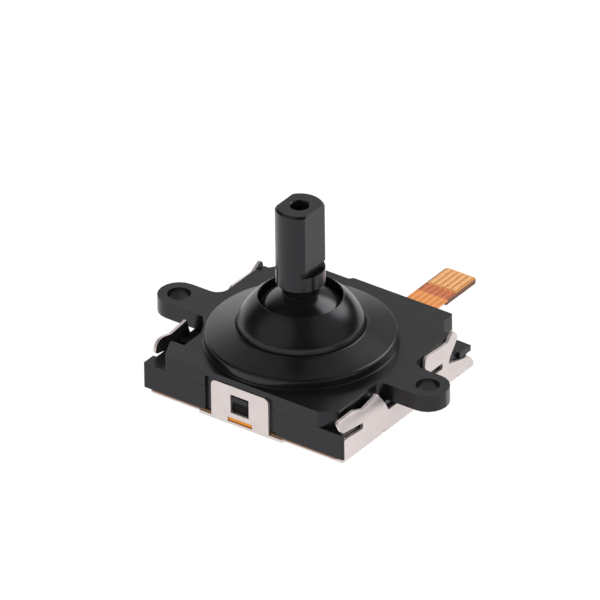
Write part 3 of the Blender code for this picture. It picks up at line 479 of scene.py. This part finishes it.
def skin_of(name, finish, bevel):
    """A finer piece over a CAD node, rounded along its edges unless bevel is 0, which replaces the node.

    Work is done in millimetres, because Blender's tools drop lengths near a micrometre.
    """
    source = frame["nodes"][name]
    shape = bmesh.new()
    shape.from_mesh(source.data)
    shape.transform(source.matrix_world)
    shape.transform(Matrix.Scale(1 / MM, 4))
    bmesh.ops.remove_doubles(shape, verts=shape.verts, dist=SAME_POINT)
    bmesh.ops.dissolve_limit(shape, angle_limit=FLAT_ANGLE, verts=shape.verts, edges=shape.edges)
    mesh = bpy.data.meshes.new(name + "_skin")
    shape.to_mesh(mesh)
    shape.free()
    mesh.shade_smooth()
    mesh.set_sharp_from_angle(angle=SHARP_ANGLE)
    made = add_piece(name + "_skin", mesh)
    if bevel:
        step = made.modifiers.new("round", "BEVEL")
        step.width = bevel
        step.segments = ROUND_STEPS
        step.limit_method = "ANGLE"
        step.angle_limit = SHARP_ANGLE
        step.use_clamp_overlap = True
    even = made.modifiers.new("even", "WEIGHTED_NORMAL")
    even.keep_sharp = True
    view = made.evaluated_get(bpy.context.evaluated_depsgraph_get())
    baked = bpy.data.meshes.new_from_object(view)
    made.modifiers.clear()
    made.data = baked
    baked.transform(Matrix.Scale(MM, 4))
    baked.materials.clear()
    baked.materials.append(finish)
    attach(made, body_of(name))
    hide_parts(name)


def film_lip(finish):
    """The edge of the flexible circuit that shows in the front tab's slot."""
    shape = bmesh.new()
    bmesh.ops.create_cube(shape, size=1.0)
    size = (LIP_TO - LIP_FROM) / MM
    bmesh.ops.scale(shape, vec=size, verts=shape.verts)
    spans = [(edge, edge.verts[0].co - edge.verts[1].co) for edge in shape.edges]
    long_edges = [edge for edge, span in spans if abs(span.x) > LIP_LONG_EDGE]
    bmesh.ops.bevel(
        shape, geom=long_edges, offset=LIP_ROUND, segments=LIP_STEPS, profile=0.5, affect="EDGES")
    shape.transform(Matrix.Scale(MM, 4))
    bmesh.ops.translate(shape, vec=(LIP_FROM + LIP_TO) / 2, verts=shape.verts)
    mesh = bpy.data.meshes.new("film_lip")
    shape.to_mesh(mesh)
    shape.free()
    mesh.materials.append(finish)
    mesh.shade_smooth()
    mesh.set_sharp_from_angle(angle=SHARP_ANGLE)
    made = add_piece("film_lip", mesh)
    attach(made, "housing")


def dress(node, finish):
    """Gives a CAD node its finish."""
    thing = frame["nodes"][node]
    thing.data.materials.clear()
    thing.data.materials.append(finish)


def on_sphere(azimuth, elevation, distance):
    """A place seen from the object at this azimuth, 0 in front, and elevation."""
    turn = math.radians(azimuth)
    rise = math.radians(elevation)
    level = math.cos(rise)
    return Vector((math.sin(turn) * level, -math.cos(turn) * level, math.sin(rise))) * distance


def make_camera():
    """A camera at the photograph's angle and scale."""
    camera = bpy.data.objects.new("camera", bpy.data.cameras.new("camera"))
    bpy.context.scene.collection.objects.link(camera)
    camera.location = AIM + on_sphere(VIEW_AZIMUTH, VIEW_ELEVATION, VIEW_DISTANCE)
    camera.rotation_mode = "QUATERNION"
    camera.rotation_quaternion = (camera.location - AIM).to_track_quat("Z", "Y")
    camera.rotation_quaternion @= Quaternion((0, 0, 1), math.radians(VIEW_ROLL))
    camera.data.sensor_width = SENSOR
    camera.data.lens = SENSOR * VIEW_DISTANCE / (PHOTO_SIDE / PIXELS_PER_MM * MM)
    camera.data.clip_start = CLIP_NEAR
    camera.data.clip_end = CLIP_FAR
    bpy.context.scene.camera = camera


def seen_directly(tree):
    """1 for rays from the camera, from gloss and through glass, and 0 for diffuse light."""
    path = place(tree, "ShaderNodeLightPath")
    both = math_node(tree, "MAXIMUM", path.outputs["Is Camera Ray"], path.outputs["Is Glossy Ray"])
    return math_node(tree, "MAXIMUM", both, path.outputs["Is Transmission Ray"])


def facing(tree, direction, azimuth, elevation, inner, outer):
    """1 within a cone about a studio direction, fading to 0; the limits are cosines."""
    made = place(tree, "ShaderNodeVectorMath", operation="DOT_PRODUCT")
    tree.links.new(direction, made.inputs[0])
    made.inputs[1].default_value = on_sphere(azimuth, elevation, 1.0)
    return ramp(tree, made.outputs["Value"], outer, inner)


def make_world():
    """White to the camera and through glass, even for diffuse light, and the studio's surfaces in gloss."""
    world = bpy.data.worlds.new("studio")
    bpy.context.scene.world = world
    world.use_nodes = True
    tree = world.node_tree
    back = tree.nodes["Background"]
    back.inputs["Color"].default_value = (1, 1, 1, 1)
    path = place(tree, "ShaderNodeLightPath")
    spot = place(tree, "ShaderNodeTexCoord")
    room = 0.0
    for azimuth, elevation, inner, outer, level in STUDIO:
        surface = facing(tree, spot.outputs["Generated"], azimuth, elevation, inner, outer)
        room = math_node(tree, "ADD", math_node(tree, "MULTIPLY", surface, level), room)
    eye = math_node(tree, "MAXIMUM", path.outputs["Is Camera Ray"], path.outputs["Is Transmission Ray"])
    fill = math_node(tree, "MULTIPLY", path.outputs["Is Diffuse Ray"], FILL_LEVEL)
    plain = math_node(tree, "MAXIMUM", eye, fill)
    gloss = math_node(tree, "MULTIPLY", path.outputs["Is Glossy Ray"], room)
    tree.links.new(math_node(tree, "MAXIMUM", plain, gloss), back.inputs["Strength"])


def make_floor():
    """A matt pale floor that keeps the object's shadow and is white to the eye and in reflections."""
    mesh = bpy.data.meshes.new("floor")
    half = FLOOR_HALF
    corners = [(-half, -half, 0), (half, -half, 0), (half, half, 0), (-half, half, 0)]
    mesh.from_pydata(corners, [], [(0, 1, 2, 3)])
    floor = bpy.data.objects.new("floor", mesh)
    bpy.context.scene.collection.objects.link(floor)
    made, tree, shader = new_material("pale_floor")
    output = tree.nodes["Material Output"]
    matt = place(tree, "ShaderNodeBsdfDiffuse")
    feed(tree, matt.inputs["Color"], FLOOR_PAINT)
    glow = place(tree, "ShaderNodeEmission")
    glow.inputs["Strength"].default_value = FLOOR_GLOW
    blend = place(tree, "ShaderNodeMixShader")
    tree.links.new(math_node(tree, "MULTIPLY", seen_directly(tree), FLOOR_SHARE), blend.inputs[0])
    tree.links.new(matt.outputs[0], blend.inputs[1])
    tree.links.new(glow.outputs[0], blend.inputs[2])
    tree.links.new(blend.outputs[0], output.inputs["Surface"])
    tree.nodes.remove(shader)
    mesh.materials.append(made)


def make_outside():
    """The pieces that are seen from outside, with their finishes."""
    black = plastic("black_moulding", BLACK, BLACK_EDGE, roughness=0.21, grain=0.05)
    # The frame's black, with a painted shade in the recess behind the tab's window
    frame_with_painted_shade = plastic("black_frame_with_painted_shade", BLACK, BLACK_EDGE, roughness=0.21, grain=0.05)
    shade_window(frame_with_painted_shade)
    polished = plastic("polished_black", BLACK, BLACK_EDGE, roughness=0.16, grain=0.05)
    slot_film = plastic("bright_film", SLOT_FILM, SLOT_FILM_EDGE, roughness=0.35, grain=0.05)
    brown = plastic("backing_film", BACKING, BACKING_EDGE, roughness=0.45, grain=0.2)
    gold = gold_plate()
    skin_of("upper_housing", black, HOUSING_ROUND)
    skin_of("lower_frame", frame_with_painted_shade, HOUSING_ROUND)
    skin_of("stick_lever", polished, LEVER_ROUND)
    skin_of("base_plate", sheet_steel(), PLATE_ROUND)
    skin_of("flex_circuit", flex_film(), bevel=0.0)
    film_lip(slot_film)
    skin_of("tail_stiffener", brown, BACKING_ROUND)
    for index in range(1, CONTACTS + 1):
        skin_of("contact_" + str(index), gold, CONTACT_ROUND)


def dress_inside():
    """Gives the pieces inside the case their finishes."""
    ivory = plastic("ivory_acetal", IVORY, IVORY_EDGE, roughness=0.42, grain=0.2)
    for name in ("gimbal_carrier", "gimbal_ring", "spring_seat", "slider_x", "slider_y"):
        dress(name, ivory)
    wire = spring_steel()
    for name in ("return_spring", "snap_dome", "cross_pin", "wiper_x", "wiper_y"):
        dress(name, wire)
    carbon = plastic("carbon_ink", CARBON, CARBON_EDGE, roughness=0.62, grain=0.5)
    for name in ("track_x_1", "track_x_2", "track_y_1", "track_y_2"):
        dress(name, carbon)


def main():
    make_outside()
    dress_inside()
    make_world()
    make_floor()
    make_camera()
    bpy.context.scene.view_settings.view_transform = "Standard"


main()
